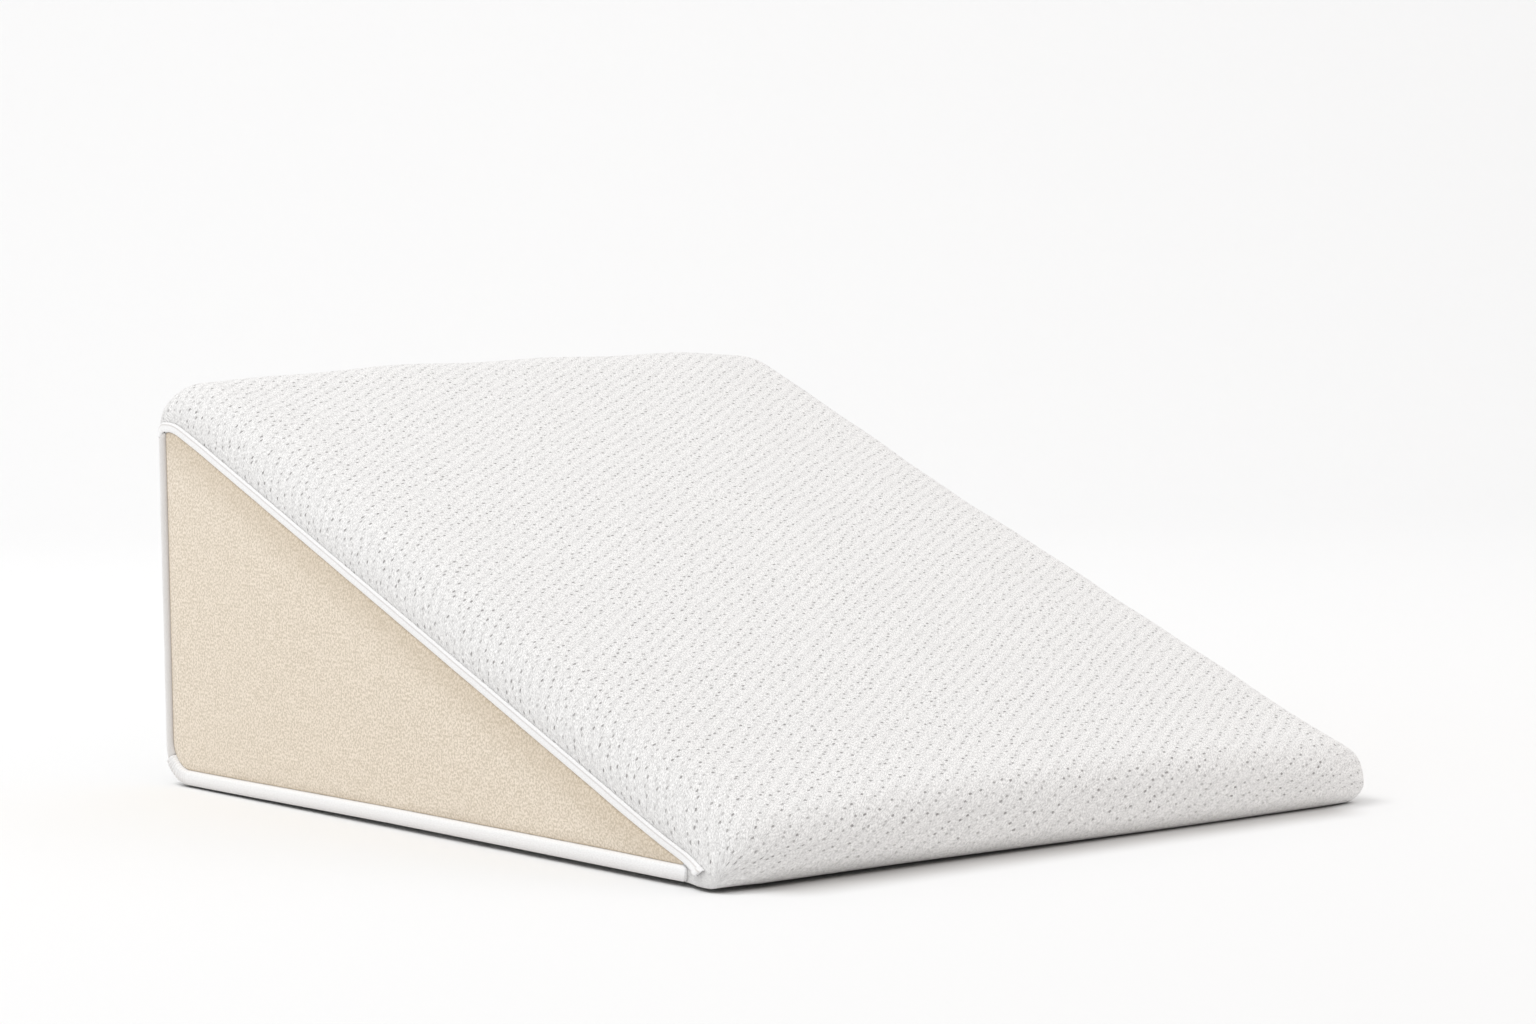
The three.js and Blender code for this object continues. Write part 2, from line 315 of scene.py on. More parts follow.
def loft(rings, across, along):
    """A closed surface over rings of points, with a fan over each end.

    The cloth coordinates have one column more than the rings.
    """
    rows, count = rings.shape[:2]
    points = rings.reshape(-1, 3)
    ends = np.stack([rings[0].mean(0), rings[-1].mean(0)])
    first_middle, last_middle = rows * count, rows * count + 1
    faces, cloth = [], []

    def cloth_of(row, column):
        return across[row, column], along[row, column]

    for i in range(count):
        j = (i + 1) % count
        for row in range(rows - 1):
            here, there = row * count, (row + 1) * count
            faces.append((here + i, here + j, there + j, there + i))
            corners = (row, i), (row, i + 1), (row + 1, i + 1), (row + 1, i)
            cloth.append([cloth_of(*corner) for corner in corners])
    for row, middle, turned in [(0, first_middle, True), (rows - 1, last_middle, False)]:
        here = row * count
        centre = (across[row].mean(), along[row].mean())
        for i in range(count):
            j = (i + 1) % count
            corners = [cloth_of(row, i), cloth_of(row, i + 1), centre]
            face = [here + i, here + j, middle]
            faces.append(tuple(face[::-1] if turned else face))
            cloth.append(tuple(corners[::-1] if turned else corners))
    return np.concatenate([points, ends]), faces, cloth


def cover_stations():
    """Stations from the middle to one seam.

    Each is (share of the flat part, two shares of the shoulder, share of the way to the seam's outline).
    """
    stations = [(i / CROWN_STEPS, 0, 0, 0) for i in range(CROWN_STEPS + 1)]
    for i in range(1, SHOULDER_STEPS + 1):
        step = i / SHOULDER_STEPS
        plain_out = math.sin(step * math.pi / 2)
        round_out = math.sin(step * TUCK_ANGLE) / math.sin(TUCK_ANGLE)
        share = (1 - math.cos(step * TUCK_ANGLE)) / (1 - math.cos(TUCK_ANGLE))
        stations.append((1, plain_out, round_out - plain_out, share))
    return stations


def cover():
    stations = cover_stations()
    signed = [(-1, s) for s in stations[:0:-1]] + [(1, s) for s in stations]
    rings = []
    for side, (flat_share, plain_out, bulge, share) in signed:
        outline = cover_outline(share, CROWN * flat_share ** 2)
        width = mix(SHOULDER_WIDTH, BACK_SHOULDER_WIDTH, smoothstep(outline[:, 0], 0, 330))
        out = (CAP_HALF_WIDTH - width) * flat_share + width * plain_out
        out = out + width * bulge * smoothstep(outline[:, 1], 0, BULGE_IS_FULL_OVER)
        rings.append(np.stack([side * out, outline[:, 0], outline[:, 1]], 1))
    rings = np.array(rings)
    caps = [mix(ring.mean(0), ring, CAP_SCALES[:, None, None]) for ring in (rings[0], rings[-1])]
    rings = np.concatenate([caps[0][::-1], rings, caps[1]])
    middle = len(rings) // 2
    around = np.concatenate([rings[middle], rings[middle][:1]])
    along = np.broadcast_to(-run_lengths(around), (len(rings), len(around)))
    across = run_lengths(rings, axis=0)
    across = across - across[middle]
    across = np.concatenate([across, across[:, :1]], 1)
    # Slight unevenness of the filling, none on the underside and none at the seam
    shares = np.array([station[-1] for _, station in signed])
    shares = np.pad(shares, len(CAP_SCALES), constant_values=1)[:, None]
    normal = np.cross(np.roll(rings, -1, 1) - np.roll(rings, 1, 1), np.gradient(rings, axis=0))
    normal /= np.maximum(np.linalg.norm(normal, axis=2, keepdims=True), 1e-9)
    weight = smoothstep(rings[:, :, 2], 2, 30) * (1 - shares) ** 0.7
    wave = COVER_WAVE * soft_noise(across[:, :-1], along[:, :-1], COVER_WAVE_LENGTH, 3)
    rings = rings + normal * (wave * weight)[:, :, None]
    points, faces, cloth = loft(rings, across, along)
    plain = 1 - smoothstep(points[:, 2], PLAIN_UP_TO, PITTED_FROM)
    return points, faces, cloth, plain


# Places across a strip, from its outer edge to its inner one
STRIP_SHARES = np.array([
    0, 0.03, 0.08, 0.14, 0.19, 0.24, 0.29, 0.35, 0.43,
    0.5, 0.56, 0.62, 0.7, 0.78, 0.86, 0.93, 0.97, 1,
])
CREASE_AT = 0.24
RIBBON_CREASE_DEPTH = 0.2


def strip(outer, inner, thicknesses, crease_depth=0.0):
    """A strip of cloth on the +X side between two edges.

    It is thickest along its middle and may have a lengthwise crease.
    """
    swell = np.sqrt(1 - (2 * STRIP_SHARES - 1) ** 4)
    crease = crease_depth * np.exp(-(((STRIP_SHARES - CREASE_AT) / 0.045) ** 2))
    rings = []
    for a, b, thickness in zip(outer, inner, thicknesses):
        flat = a + (b - a) * STRIP_SHARES[:, None]
        height = SEAT + mix(BINDING_RIM, thickness, swell) - crease
        top = np.concatenate([height[:, None], flat], 1)
        rings.append(np.concatenate([[[SEAT, *b], [SEAT, *a]], top]))
    rings = np.array(rings[::-1])
    middle_line = (outer + inner)[::-1] / 2
    lengths = run_lengths(middle_line)
    columns = np.concatenate([rings, rings[:, :1]], 1)
    across = run_lengths(columns, axis=1)
    along = np.broadcast_to(lengths[:, None], across.shape)
    points, faces, cloth = loft(rings, across, along)
    # Painted shade in the crease
    painted_shade_in_crease = np.exp(-(((STRIP_SHARES - CREASE_AT) / 0.06) ** 2)) * (crease_depth > 0)
    shade = np.tile(np.concatenate([[0, 0], painted_shade_in_crease]), len(rings))
    return points, faces, cloth, np.concatenate([shade, [0, 0]])


def slope_binding():
    def line(distance, cut_back):
        rear, top, slope = [inset(e, distance) for e in (REAR, TOP, SLOPE)]
        turn = round_corner(rear, top, SEAM_RADIUS["back_top"] - distance, 16)
        bend = round_corner(top, slope, SEAM_RADIUS["top_slope"] - distance, 16)
        end = SLOPE_BINDING_NOSE_INSET / math.cos(SLOPE_ANGLE) + cut_back
        fold_steps = FOLD_LENGTH, FOLD_LENGTH - 0.5, 3, 0.8, 0
        fold = np.array([slope[0] + UP_SLOPE * (end + step) for step in fold_steps])
        start = turn[0] - [0, max(APEX_LAP - 0.4 * distance, 0.2)]
        return np.concatenate([
            [start], divide(start, turn[0], 4),
            turn, divide(turn[-1], bend[0], 4),
            bend, divide(bend[-1], fold[0], 180),
            fold,
        ])

    outer = line(GAP, FOLD_CUT_BACK)
    inner = line(GAP + SLOPE_BINDING_WIDTH, FOLD_CUT_BACK + FOLD_SLANT)
    thicknesses = np.full(len(outer), float(SLOPE_BINDING_THICKNESS))
    lengths = run_lengths(outer)
    # The ribbon is thicker over the back corner, thin where it starts, and folded double at the nose
    thicknesses += OVER_BACK_PADDING * smoothstep(lengths, 18, 6)
    thicknesses[:2] = 1.2, 2.6
    thicknesses[-4:] = FOLD_COVERS_ROLL
    thicknesses[-1] = 3.2
    uneven = 0.12 * soft_noise(lengths, 0 * lengths, 14, 5)
    thicknesses += uneven * smoothstep(lengths, 20, 60)
    return strip(outer, inner, thicknesses, RIBBON_CREASE_DEPTH)


def base_binding():
    def corner(distance):
        base = inset(BASE, distance)
        rear = inset(REAR, distance + GAP)
        radius = SEAM_RADIUS["base_back"] - distance
        return round_corner(base, rear, radius, 44, 0, JOINT_SHARE_OF_CORNER)

    outer_corner = corner(0)
    clear = inset(SLOPE, SLOPE_BINDING_WIDTH + 2 * GAP)[0]
    tip = SEAM_NOSE + BASE_BINDING_NOSE_INSET
    straight = np.concatenate([
        tip + np.array([0, 0.3, 0.8, 1.5, 2.4, 3.5, 5]),
        np.linspace(tip + 7, tip + 40, 18),
        np.linspace(tip + 40, outer_corner[0][0], 130)[1:-1],
    ])
    under_slope = clear[1] + (straight - clear[0]) * math.tan(SLOPE_ANGLE)
    full_width = np.minimum(EDGE_BINDING_WIDTH, under_slope)
    # The end towards the nose is rounded off
    round_end = np.sqrt(1 - np.clip(1 - (straight - tip) / TIP_ROUNDING, 0, 1) ** 2)
    inner_straight = np.stack([straight, full_width * mix(TIP_TOP_SHARE, 1, round_end)], 1)
    outer_straight = np.stack([straight, full_width * mix(TIP_BOTTOM_SHARE, 0, round_end)], 1)
    outer = np.concatenate([outer_straight, outer_corner])
    inner = np.concatenate([inner_straight, corner(EDGE_BINDING_WIDTH)])
    lengths = run_lengths(outer)
    thicknesses = mix(BASE_BINDING_TIP_THICKNESS, BASE_BINDING_THICKNESS, smoothstep(lengths, 0, 22))
    # Small tucks where the roll turns up at the lower back corner
    tucks = np.sin(lengths * 2 * math.pi / TUCK_SPACING + 1.3 * np.sin(lengths * 0.31))
    at_corner = smoothstep(lengths, lengths[-1] - 46, lengths[-1] - 26)
    thicknesses = thicknesses + TUCK_DEPTH * tucks * at_corner
    thicknesses = thicknesses + 0.2 * soft_noise(lengths, 0 * lengths, 22, 8)
    points, faces, cloth, _ = strip(outer, inner, thicknesses)
    # Painted shade on the roll's lower half, towards the floor, and in its tucks at the corner
    low = 0.45 * (1 - smoothstep(STRIP_SHARES, 0.2, 0.62))
    painted_shade_in_tuck = 0.5 * (at_corner * np.clip(-tucks, 0, 1) ** 3)[::-1]
    shade = np.clip(np.concatenate([[0, 0], low])[None, :] + painted_shade_in_tuck[:, None], 0, 1).ravel()
    return points, faces, cloth, np.concatenate([shade, [0, 0]])


def back_binding():
    def line(distance):
        base = inset(BASE, distance)
        rear = inset(REAR, distance + GAP)
        start = JOINT_SHARE_OF_CORNER + JOINT_GAP_SHARE
        corner = round_corner(base, rear, SEAM_RADIUS["base_back"] - distance, 8, start, 1)
        start_of_slope = SEAM_TOP_HEIGHT - SEAM_RADIUS["back_top"] - APEX_LAP
        top = np.array([corner[-1][0], start_of_slope - GAP + 0.5 * distance])
        return np.concatenate([corner, divide(corner[-1], top, 70), [top]])

    outer, inner = line(0), line(EDGE_BINDING_WIDTH)
    lengths = run_lengths(outer)
    thicknesses = BACK_BINDING_THICKNESS + 0.15 * soft_noise(lengths, 0 * lengths, 20, 9)
    points, faces, cloth, _ = strip(outer, inner, thicknesses)
    # Painted shade across the whole back strip, strongest beside the panel and weaker at its outer edge
    shade = mix(0.4, 1, smoothstep(REAR[0][0] - points[:, 1], 2, EDGE_BINDING_WIDTH))
    return points, faces, cloth, shade


def side_panel():
    beside = SLOPE_BINDING_WIDTH + 2 * GAP
    edges = [
        inset(BASE, EDGE_BINDING_WIDTH + GAP),
        inset(REAR, EDGE_BINDING_WIDTH + 2 * GAP),
        inset(TOP, beside),
        inset(SLOPE, beside),
    ]
    radii = [
        SEAM_RADIUS["base_back"] - EDGE_BINDING_WIDTH - GAP,
        PANEL_APEX_RADIUS,
        SEAM_RADIUS["top_slope"] - beside,
        PANEL_TIP_RADIUS,
    ]
    pairs = [(edges[i], edges[(i + 1) % 4], radii[i]) for i in range(4)]
    arcs = [round_corner(*pair, 8) for pair in pairs]
    middle = np.concatenate([round_corner(*pair, 6) for pair in pairs]).mean(0)
    parts = []
    for i, steps in enumerate((54, 1, 150, 150)):
        parts += [arcs[i], divide(arcs[i][-1], arcs[(i + 1) % 4][0], steps)]
    outline = np.concatenate(parts)
    rings = []
    near_edge = [1, 1, 0.998, 0.996, 0.993, 0.989, 0.983, 0.974, 0.962, 0.945, 0.925, 0.9, 0.87, 0.835]
    scales = np.array([*near_edge, *np.linspace(0.8, 0.04, 26)])
    rim = mix(PANEL_EDGE, PANEL_RIM, smoothstep(1 - scales, 0, 0.045))
    heights = rim + PANEL_CROWN * (1 - scales ** 2)
    heights[0] = 0
    for scale, height in zip(scales, heights):
        flat = mix(middle, outline, scale)
        wave = PANEL_WAVE * soft_noise(flat[:, 0], flat[:, 1], PANEL_WAVE_LENGTH, 4)
        wave = wave * smoothstep(1 - scale, 0, 0.08)
        rings.append(np.concatenate([(SEAT + height + wave)[:, None], flat], 1))
    rings = np.array(rings)
    columns = np.concatenate([rings, rings[:, :1]], 1)
    points, faces, cloth = loft(rings, columns[:, :, 1], columns[:, :, 2])
    # Painted shade: the cloth is darkened in a soft band beside its edges, the widest one under the slope
    # binding, and in a thin painted shadow line along them
    flat = points[:, 1:]
    from_edges = np.array([(flat - point) @ inward for point, _, inward in edges])
    reach = np.array([8, 8, 34, 34])[:, None]
    strength = np.array([0.22, 0.25, 0.6, 0.6])[:, None]
    painted_shade_band = ((1 - smoothstep(from_edges, 0, reach)) * strength).max(0)
    painted_shadow_line = 1 - smoothstep(from_edges.min(0), 0.2, 1.8)
    shade = np.maximum(painted_shade_band, painted_shadow_line)
    return points, faces, cloth, shade


# Materials
def new_material(name, color, roughness, sheen):
    material = bpy.data.materials.new(name)
    material.use_nodes = True
    tree = material.node_tree
    shader = tree.nodes["Principled BSDF"]
    shader.inputs["Base Color"].default_value = (*color, 1)
    shader.inputs["Roughness"].default_value = roughness
    shader.inputs["Sheen Weight"].default_value = sheen
    shader.inputs["Sheen Roughness"].default_value = 0.5
    shader.inputs["Specular IOR Level"].default_value = 0.25
    return material, tree, shader


def add_node(tree, kind, **settings):
    node = tree.nodes.new("ShaderNode" + kind)
    for key, value in settings.items():
        if key[0].isupper():
            node.inputs[key.replace("_", " ")].default_value = value
        else:
            setattr(node, key, value)
    return node


def math_node(tree, operation, a, b=None, c=None):
    node = tree.nodes.new("ShaderNodeMath")
    node.operation = operation
    for slot, value in zip(node.inputs, (a, b, c)):
        if value is None:
            continue
        if isinstance(value, (int, float)):
            slot.default_value = value
        else:
            tree.links.new(value, slot)
    return node.outputs[0]


def linear(*rgb):
    """sRGB values from 0 to 255 as linear ones."""
    shares = [value / 255 for value in rgb]
    return tuple(c / 12.92 if c <= 0.04045 else ((c + 0.055) / 1.055) ** 2.4 for c in shares)


# Colours of the cloths. The first of each is its plain mean. The knit's pit colour and the felt's and
# ribbon's edge colours are painted shade.
KNIT_MEAN = linear(236, 235, 233)
KNIT_DARK = linear(209, 208, 207)
KNIT_LIGHT = linear(250, 249, 248)
KNIT_PIT_PAINTED_SHADE = linear(146, 143, 142)
FELT_MEAN = linear(226, 211, 190)
FELT_DARK = linear(209, 196, 176)
FELT_LIGHT = linear(240, 228, 212)
FELT_PAINTED_SHADE = linear(176, 156, 126)
RIBBON_MEAN = linear(238, 238, 238)
RIBBON_DARK = linear(238, 237, 237)
RIBBON_LIGHT = linear(248, 248, 248)
RIBBON_PAINTED_SHADE = linear(176, 167, 158)


def soft_step(tree, value, low, high):
    """A soft step from 0 at the low value to 1 at the high one."""
    node = add_node(tree, "MapRange", interpolation_type="SMOOTHSTEP", From_Min=low, From_Max=high)
    tree.links.new(value, node.inputs["Value"])
    return node.outputs["Result"]


def blend_color(tree, factor, a, b):
    node = add_node(tree, "Mix", data_type="RGBA")
    tree.links.new(factor, node.inputs["Factor"])
    for slot, value in [(node.inputs[6], a), (node.inputs[7], b)]:
        if isinstance(value, tuple):
            slot.default_value = (*value, 1)
        else:
            tree.links.new(value, slot)
    return node.outputs[2]


def cloth_coordinates(tree):
    """A place in the cloth, across and along, in metres."""
    return add_node(tree, "UVMap", uv_map="cloth").outputs[0]


def split(tree, vector):
    node = add_node(tree, "SeparateXYZ")
    tree.links.new(vector, node.inputs[0])
    return node.outputs[0], node.outputs[1], node.outputs[2]


def combine(tree, x, y):
    node = add_node(tree, "CombineXYZ")
    tree.links.new(x, node.inputs[0])
    tree.links.new(y, node.inputs[1])
    return node.outputs[0]


def weighted(tree, x, y, a, b):
    """a x + b y"""
    return math_node(tree, "MULTIPLY_ADD", y, b, math_node(tree, "MULTIPLY", x, a))


def turned(tree, x, y, angle, long_scale, short_scale):
    """Two coordinates turned by an angle, each then scaled by its own factor."""
    long_way = weighted(tree, x, y, math.cos(angle) * long_scale, math.sin(angle) * long_scale)
    short_way = weighted(tree, x, y, -math.sin(angle) * short_scale, math.cos(angle) * short_scale)
    return long_way, short_way


def distance_of(tree, x, y):
    """The square root of x x + y y"""
    square = math_node(tree, "MULTIPLY", y, y)
    return math_node(tree, "SQRT", math_node(tree, "MULTIPLY_ADD", x, x, square))


def beyond(tree, value, middle, half):
    """How far a value is outside a span."""
    off = math_node(tree, "ABSOLUTE", math_node(tree, "SUBTRACT", value, middle))
    return math_node(tree, "MAXIMUM", math_node(tree, "SUBTRACT", off, half), 0.0)


def noise(tree, place, scale, detail, **settings):
    node = add_node(tree, "TexNoise", noise_dimensions="2D", Scale=scale, Detail=detail, **settings)
    tree.links.new(place, node.inputs["Vector"])
    return node.outputs["Fac"]


def read_shade(tree):
    return add_node(tree, "Attribute", attribute_name="shade").outputs["Fac"]


def add_bump(tree, shader, height, strength, distance):
    bump = add_node(tree, "Bump", Strength=strength, Distance=distance)
    tree.links.new(height, bump.inputs["Height"])
    tree.links.new(bump.outputs[0], shader.inputs["Normal"])


# Rows of pits in the knit, in millimetres of cloth: one step along a row, and one to the next row
ROW_STEP = 6.0, 4.0
NEXT_ROW_STEP = 4.5, -8.0
CELLS_PER_METRE = (np.linalg.inv(np.array([ROW_STEP, NEXT_ROW_STEP]).T) / MM).round(1)
ROW_SWAY = 0.36
PIT_ANGLE = math.radians(14)
PIT_HALF_LENGTH, PIT_HALF_WIDTH = 1.4, 0.85
# The share of its cell in which a pit's middle lies, along the row and towards the next one
PIT_SPREAD_ALONG, PIT_SPREAD_ACROSS = 0.6, 0.52
PIT_RIM, PIT_BOTTOM = 1.3, 0.55
PIT_DEPTH, PIT_DEPTH_BY_CHANCE = 0.24, 0.8
# Yarns that run between the pits, in strokes to the metre
YARN_ANGLE = math.radians(36)
YARNS_ALONG, YARNS_ACROSS = 460, 1500
# How much the rib between rows of pits is raised in the bump and painted lighter, as painted light
RIB_RELIEF_AND_PAINTED_LIGHT = 0.02


def knit_pits(tree, uv):
    """How deep the pits are, from 0 to 1, and the coordinate that counts the rows."""
    u, v = split(tree, uv)[:2]
    sway = noise(tree, uv, 30.0, 1.0)
    along_row = weighted(tree, u, v, *CELLS_PER_METRE[0])
    to_next = math_node(tree, "MULTIPLY_ADD", sway, ROW_SWAY, weighted(tree, u, v, *CELLS_PER_METRE[1]))
    chance = add_node(tree, "TexWhiteNoise", noise_dimensions="2D")
    cell = combine(tree, math_node(tree, "FLOOR", along_row), math_node(tree, "FLOOR", to_next))
    tree.links.new(cell, chance.inputs["Vector"])
    chances = split(tree, chance.outputs["Color"])

    def from_middle(place, moved, spread):
        middle = math_node(tree, "MULTIPLY_ADD", moved, spread, (1 - spread) / 2)
        return math_node(tree, "SUBTRACT", math_node(tree, "FRACT", place), middle)

    # The place from the pit's middle, in cells, then in millimetres
    in_row = from_middle(along_row, chances[0], PIT_SPREAD_ALONG)
    beside_row = from_middle(to_next, chances[1], PIT_SPREAD_ACROSS)
    across = weighted(tree, in_row, beside_row, ROW_STEP[0], NEXT_ROW_STEP[0])
    along = weighted(tree, in_row, beside_row, ROW_STEP[1], NEXT_ROW_STEP[1])
    sizes = turned(tree, across, along, PIT_ANGLE, 1 / PIT_HALF_LENGTH, 1 / PIT_HALF_WIDTH)
    wobble = math_node(tree, "MULTIPLY_ADD", noise(tree, uv, 900.0, 1.0), 1.0, -0.5)
    radius = math_node(tree, "ADD", distance_of(tree, *sizes), wobble)
    strength = math_node(tree, "MULTIPLY_ADD", chances[2], PIT_DEPTH_BY_CHANCE, PIT_DEPTH)
    pit = math_node(tree, "MULTIPLY", soft_step(tree, radius, PIT_RIM, PIT_BOTTOM), strength)
    return pit, to_next


def knit_material():
    material, tree, shader = new_material("knit", KNIT_MEAN, 0.95, 0.15)
    uv = cloth_coordinates(tree)
    pit, rows = knit_pits(tree, uv)
    # A soft rib between two rows, raised in the bump and also painted lighter between the rows of pits and
    # darker along them, as painted light and shade
    rib = math_node(tree, "COSINE", math_node(tree, "MULTIPLY", rows, 2 * math.pi))
    yarn_place = turned(tree, *split(tree, uv)[:2], YARN_ANGLE, YARNS_ALONG, YARNS_ACROSS)
    yarn = noise(tree, combine(tree, *yarn_place), 1.0, 2.0, Roughness=0.6, Distortion=0.6)
    strokes = soft_step(tree, math_node(tree, "MULTIPLY_ADD", rib, RIB_RELIEF_AND_PAINTED_LIGHT, yarn), 0.36, 0.64)
    # The pits fade out low on the nose
    depth = math_node(tree, "MULTIPLY", pit, math_node(tree, "SUBTRACT", 1.0, read_shade(tree)))
    base = blend_color(tree, strokes, KNIT_DARK, KNIT_LIGHT)
    # The pits are painted darker, as painted shade in the hollows, besides the bump that sinks them
    color = blend_color(tree, math_node(tree, "MULTIPLY", depth, 0.9), base, KNIT_PIT_PAINTED_SHADE)
    tree.links.new(color, shader.inputs["Base Color"])
    height = math_node(tree, "SUBTRACT", math_node(tree, "MULTIPLY", strokes, 0.2), depth)
    add_bump(tree, shader, height, 0.8, 0.0006)
    return material


def felt_material():
    material, tree, shader = new_material("felt", FELT_MEAN, 0.95, 0.2)
    uv = cloth_coordinates(tree)
    grain = noise(tree, uv, 520.0, 2.0, Roughness=0.6)
    cloud = noise(tree, uv, 90.0, 2.0)
    both = math_node(tree, "MULTIPLY_ADD", cloud, 0.12, math_node(tree, "MULTIPLY", grain, 0.88))
    speckle = soft_step(tree, both, 0.36, 0.64)
    color = blend_color(tree, speckle, FELT_DARK, FELT_LIGHT)
    # Painted shade beside the panel's edges, from its shade attribute
    painted_edge_shade = math_node(tree, "MULTIPLY", read_shade(tree), 0.5)
    color = blend_color(tree, painted_edge_shade, color, FELT_PAINTED_SHADE)
    tree.links.new(color, shader.inputs["Base Color"])
    add_bump(tree, shader, both, 0.5, 0.0004)
    return material


# Threads of the ribbon's weave, to the metre
THREADS_ACROSS, THREADS_ALONG = 1600.0, 500.0


def ribbon_material():
    material, tree, shader = new_material("ribbon", RIBBON_MEAN, 0.6, 0.1)
    u, v = split(tree, cloth_coordinates(tree))[:2]
    across = math_node(tree, "MULTIPLY", u, THREADS_ACROSS)
    along = math_node(tree, "MULTIPLY", v, THREADS_ALONG)
    weave = noise(tree, combine(tree, across, along), 1.0, 2.0)
    threads = soft_step(tree, weave, 0.3, 0.7)
    color = blend_color(tree, threads, RIBBON_DARK, RIBBON_LIGHT)
    # Painted shade from the shade attribute: in the crease, on the roll's lower half and in its tucks, and
    # across the back strip
    painted_edge_shade = math_node(tree, "MULTIPLY", read_shade(tree), 0.5)
    color = blend_color(tree, painted_edge_shade, color, RIBBON_PAINTED_SHADE)
    tree.links.new(color, shader.inputs["Base Color"])
    add_bump(tree, shader, weave, 0.4, 0.0003)
    return material


KNIT, FELT, RIBBON = knit_material(), felt_material(), ribbon_material()

cover_piece = make_piece("cover", cover(), KNIT)
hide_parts("cover_body")

# Flat sizes of the cloths in metres, and the panel's area in square metres
PANEL_AREA = 0.092
for side, flip in (("left", True), ("right", False)):
    for kind, build, material, slot, flat, area in (
        ("side_panel", side_panel, FELT, "side_panel", (0.269, 0.679), PANEL_AREA),
        ("slope_binding", slope_binding, RIBBON, "binding", (0.0105, 0.77), None),
        ("base_binding", base_binding, RIBBON, "binding", (0.013, 0.71), None),
        ("back_binding", back_binding, RIBBON, "binding", (0.0125, 0.258), None),
    ):
        node = f"{kind}_{side}"
        piece = make_piece(f"{node}_cloth", build(), material, flip)
        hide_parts(node)


# Floor and backdrop in one sweep, in metres
FLOOR_HEIGHT = -0.0003
FLOOR_ROWS = -7.0, -3.0, -1.2, -0.8, -0.4, 0.0, 0.4, 0.8, 1.2, 1.6, 2.0, 2.5, 3.2
SWEEP_RADIUS, SWEEP_STEPS = 1.6, 12
BACKDROP_TOP = 6.0
STAGE_HALF_WIDTH = 7.0
STAGE_TURN = math.radians(-38)
BACKDROP_GLOW = 0.1
FLOOR_COLOR = 0.855, 0.855, 0.855
# A soft shadow of the pillow painted on the floor, before its nose and beyond its right side
FLOOR_PAINTED_SHADOW_COLOR = 0.63, 0.62, 0.61
SHADE_MIDDLE, SHADE_HALF_WIDTH, SHADE_HALF_LENGTH = -0.008, 0.24, 0.3735
SHADE_FADES_FROM, SHADE_FADES_TO = 0.01, 0.048
# A painted contact shadow, the dark line where the pillow meets the floor, from ambient occlusion; in
# metres and as a share of open sky
CONTACT_PAINTED_SHADOW_COLOR = 0.03, 0.024, 0.02
CONTACT_REACH, CONTACT_ENDS_AT = 0.009, 0.34


def stage_material():
    material, tree, shader = new_material("studio_white", (0.86, 0.86, 0.86), 0.9, 0.0)
    shader.inputs["Specular IOR Level"].default_value = 0.0
    x, y, _ = split(tree, add_node(tree, "NewGeometry").outputs["Position"])
    # Painted shadow: the floor is darkened within a box round the pillow's footprint, fading out away from
    # it
    sideways = beyond(tree, x, SHADE_MIDDLE, SHADE_HALF_WIDTH)
    ahead = beyond(tree, y, 0.0, SHADE_HALF_LENGTH)
    away = distance_of(tree, sideways, ahead)
    outside_painted_shadow = soft_step(tree, away, SHADE_FADES_FROM, SHADE_FADES_TO)
    color = blend_color(tree, outside_painted_shadow, FLOOR_PAINTED_SHADOW_COLOR, FLOOR_COLOR)
    # Painted contact shadow, darkest where the floor is hidden from the sky close by the pillow
    contact = add_node(tree, "AmbientOcclusion", samples=4, Distance=CONTACT_REACH)
    open_to_sky = soft_step(tree, contact.outputs["AO"], 0.0, CONTACT_ENDS_AT)
    color = blend_color(tree, open_to_sky, CONTACT_PAINTED_SHADOW_COLOR, color)
    tree.links.new(color, shader.inputs["Base Color"])
    brightness = add_node(tree, "Attribute", attribute_name="glow")
    tree.links.new(brightness.outputs["Fac"], shader.inputs["Emission Strength"])
    shader.inputs["Emission Color"].default_value = (1, 1, 1, 1)
    return material


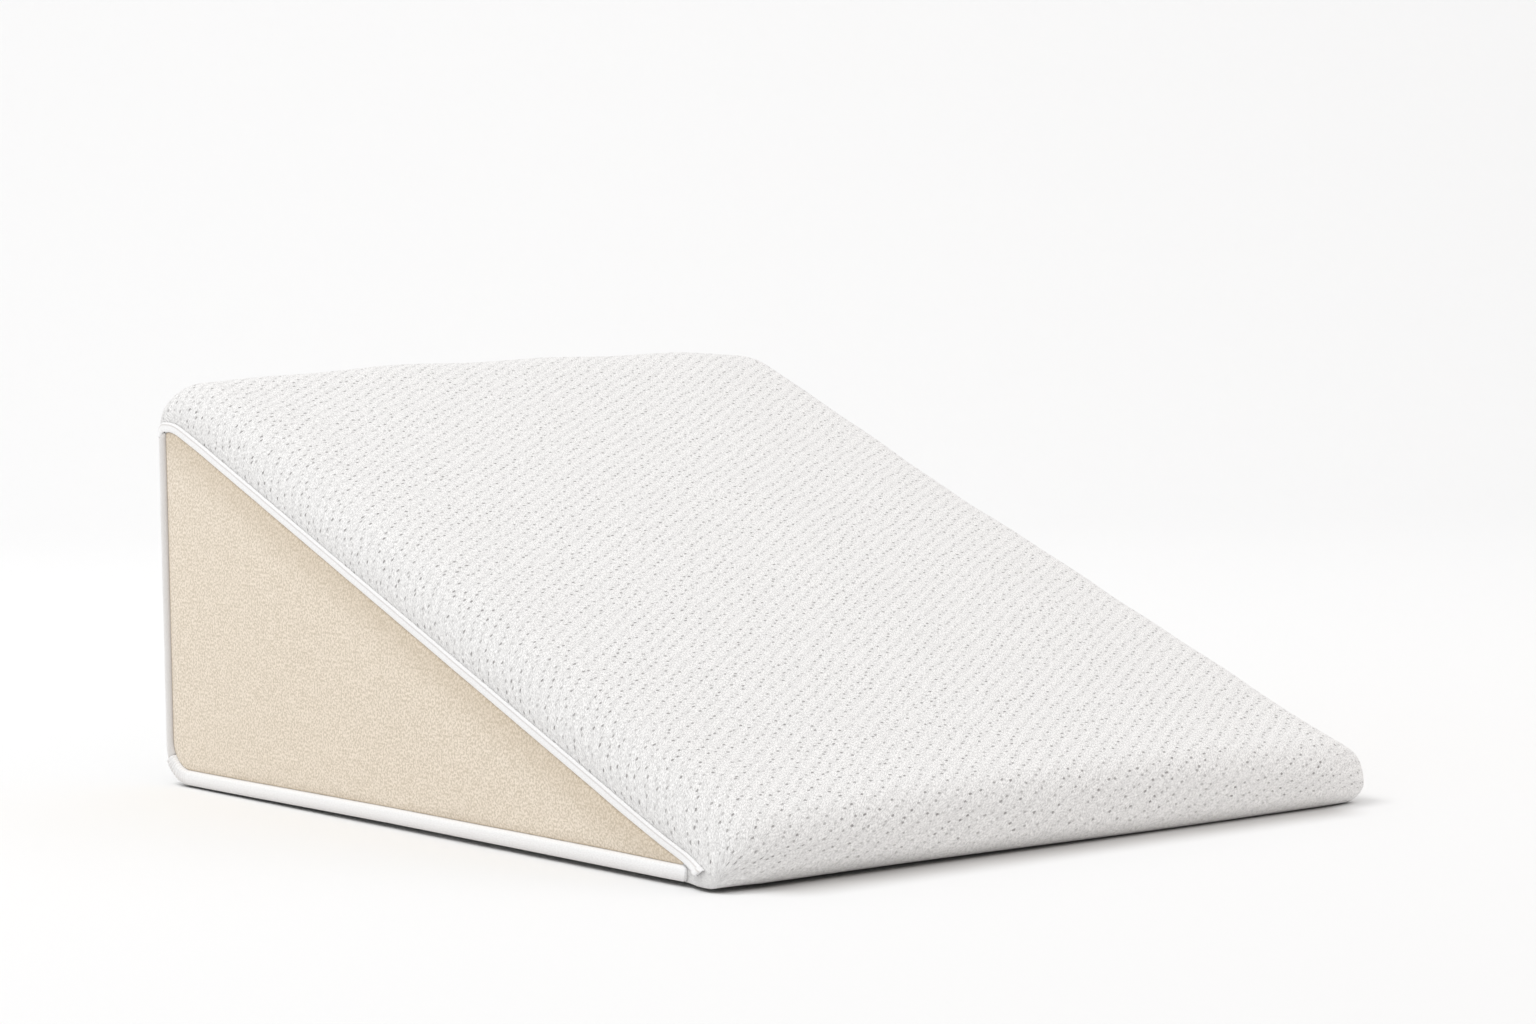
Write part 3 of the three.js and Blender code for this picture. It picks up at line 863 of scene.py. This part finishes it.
def make_stage():
    profile = [(y, FLOOR_HEIGHT) for y in FLOOR_ROWS]
    for step in range(1, SWEEP_STEPS + 1):
        angle = math.radians(90 * step / SWEEP_STEPS)
        ahead, up = SWEEP_RADIUS * math.sin(angle), SWEEP_RADIUS * (1 - math.cos(angle))
        profile.append((FLOOR_ROWS[-1] + ahead, up))
    profile.append((FLOOR_ROWS[-1] + SWEEP_RADIUS, BACKDROP_TOP))
    turn = Matrix.Rotation(STAGE_TURN, 3, "Z")
    ends = -STAGE_HALF_WIDTH, STAGE_HALF_WIDTH
    points = [turn @ Vector((x, y, z)) for y, z in profile for x in ends]
    faces = [(2 * i, 2 * i + 1, 2 * i + 3, 2 * i + 2) for i in range(len(profile) - 1)]
    mesh = bpy.data.meshes.new("floor")
    mesh.from_pydata(points, [], faces)
    glow = mesh.attributes.new("glow", "FLOAT", "POINT")
    brightness = [BACKDROP_GLOW * smoothstep(y, -1.2, 3.0) for y, _ in profile for _ in ends]
    glow.data.foreach_set("value", brightness)
    mesh.shade_smooth()
    mesh.materials.append(stage_material())
    floor = bpy.data.objects.new("floor", mesh)
    bpy.context.scene.collection.objects.link(floor)


def make_light(name, place, target, size, power, color=(1, 1, 1)):
    light = bpy.data.lights.new(name, "AREA")
    light.shape = "DISK"
    light.size = size
    light.energy = power
    light.color = color
    lamp = bpy.data.objects.new(name, light)
    lamp.location = place
    lamp.rotation_euler = (Vector(target) - Vector(place)).to_track_quat("-Z", "Y").to_euler()
    bpy.context.scene.collection.objects.link(lamp)


def make_world(strength):
    world = bpy.data.worlds.new("studio")
    bpy.context.scene.world = world
    world.use_nodes = True
    background = world.node_tree.nodes["Background"]
    background.inputs["Color"].default_value = (1, 1, 1, 1)
    background.inputs["Strength"].default_value = strength


# The photo's camera, in millimetres and degrees
LENS = 84.41
PITCH = 3.526
YAW = -38.069
ROLL = -0.859
SHIFT_RIGHT = 16.14
SHIFT_UP = 216.7
DISTANCE = 2791.9


def make_camera():
    yaw, pitch, roll = (math.radians(degrees) for degrees in (YAW, PITCH, ROLL))
    back = Vector((math.sin(yaw) * math.cos(pitch), -math.cos(yaw) * math.cos(pitch), math.sin(pitch)))
    level = Vector((math.cos(yaw), math.sin(yaw), 0))
    upright = back.cross(level)
    right = level * math.cos(roll) + upright * math.sin(roll)
    up = upright * math.cos(roll) - level * math.sin(roll)
    place = (back * DISTANCE + right * SHIFT_RIGHT + up * SHIFT_UP) * MM
    data = bpy.data.cameras.new("camera")
    data.lens = LENS
    data.sensor_width = 36
    data.clip_start = 0.1
    data.clip_end = 50
    camera = bpy.data.objects.new("camera", data)
    camera.matrix_world = Matrix.Translation(place) @ Matrix((right, up, back)).transposed().to_4x4()
    bpy.context.scene.collection.objects.link(camera)
    bpy.context.scene.camera = camera


make_stage()
make_light("key", place=(-2.0, 1.0, 4.5), target=(0, 0, 0.1), size=2.7, power=80)
make_light(
    "fill", place=(2.2, -2.6, 1.2), target=(0.1, -0.3, 0.05), size=2.0, power=12.5, color=(1, 0.84, 0.76),
)
make_world(strength=0.84)
make_camera()
bpy.context.scene.view_settings.view_transform = "Standard"
